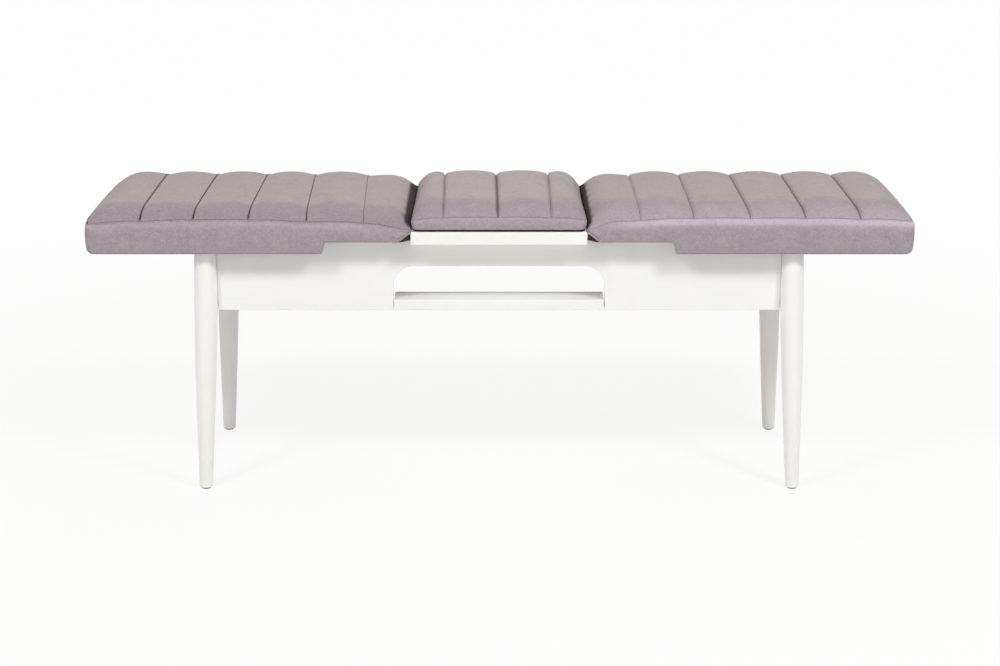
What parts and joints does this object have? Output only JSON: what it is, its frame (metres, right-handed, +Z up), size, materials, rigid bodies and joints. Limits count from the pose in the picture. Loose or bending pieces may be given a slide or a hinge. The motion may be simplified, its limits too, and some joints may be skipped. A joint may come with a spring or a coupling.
{
  "type": "extending bench",
  "caption": "Upholstered extending bench on splayed turned legs: channelled seat halves on roller slides, a loose padded leaf between them, and an arched apron with a low rail.",
  "frame": {"origin": "on the floor under the middle of the bench, drawn apart with its leaf in", "axes": "+X along the bench to the right as seen from the front, +Y to the back, +Z up; the front is at -Y"},
  "size_m": [1.4, 0.35, 0.5063],
  "materials": {
    "upholstery": "short velvet pile",
    "lacquer": "satin white lacquer",
    "plywood": "raw",
    "beech": "waxed",
    "steel": "zinc plated",
    "bumper_rubber": "matt",
    "foot_plastic": "matt",
    "glide_plastic": "smooth",
    "lining": "non-woven"
  },
  "bodies": {
    "base": {"front_apron": "lacquer", "back_apron": "lacquer", "left_end_apron": "lacquer", "right_end_apron": "lacquer", "front_rail": "lacquer", "rail_dowels": "beech", "front_left_leg": "lacquer", "front_right_leg": "lacquer", "back_left_leg": "lacquer", "back_right_leg": "lacquer", "front_left_corner_plate": "steel", "front_right_corner_plate": "steel", "back_left_corner_plate": "steel", "back_right_corner_plate": "steel", "leg_bolts": "steel", "leg_nuts": "steel", "foot_glides": "foot_plastic", "glide_strips": "glide_plastic", "front_left_outer_channel": "steel", "front_right_outer_channel": "steel", "back_left_outer_channel": "steel", "back_right_outer_channel": "steel", "slide_bumpers": "bumper_rubber"},
    "left_half": {"left_seat_board": "plywood", "left_front_skirt_strip": "plywood", "left_back_skirt_strip": "plywood", "left_end_skirt_strip": "plywood", "left_dust_cover": "lining", "left_cover": "upholstery", "left_cushion": "upholstery", "left_front_batten": "beech", "left_back_batten": "beech", "front_left_inner_channel": "steel", "back_left_inner_channel": "steel"},
    "right_half": {"right_seat_board": "plywood", "right_front_skirt_strip": "plywood", "right_back_skirt_strip": "plywood", "right_end_skirt_strip": "plywood", "right_dust_cover": "lining", "right_cover": "upholstery", "right_cushion": "upholstery", "right_front_batten": "beech", "right_back_batten": "beech", "front_right_inner_channel": "steel", "back_right_inner_channel": "steel"},
    "left_cages": {"front_left_roller_cage": "steel", "back_left_roller_cage": "steel", "left_rollers": "steel"},
    "right_cages": {"front_right_roller_cage": "steel", "back_right_roller_cage": "steel", "right_rollers": "steel"},
    "leaf": {"leaf_board": "lacquer", "leaf_cleats": "lacquer", "leaf_pad_base": "plywood", "leaf_cushion": "upholstery"}
  },
  "joints": [
    {"name": "left_half_slide", "type": "slide", "parent": "base", "child": "left_half", "axis": [-1, 0, 0], "range_m": [0, 0.015]},
    {"name": "right_half_slide", "type": "slide", "parent": "base", "child": "right_half", "axis": [1, 0, 0], "range_m": [0, 0.015]},
    {"name": "left_cage_slide", "type": "slide", "parent": "base", "child": "left_cages", "axis": [-1, 0, 0], "range_m": [0, 0.0075]},
    {"name": "right_cage_slide", "type": "slide", "parent": "base", "child": "right_cages", "axis": [1, 0, 0], "range_m": [0, 0.0075]},
    {"name": "leaf_lift", "type": "slide", "parent": "base", "child": "leaf", "axis": [0, 0, 1], "range_m": [0, 0.12]}
  ],
  "couplings": [
    {"joint": "left_cage_slide", "follows": "left_half_slide", "ratio": 0.5},
    {"joint": "right_cage_slide", "follows": "right_half_slide", "ratio": 0.5}
  ]
}
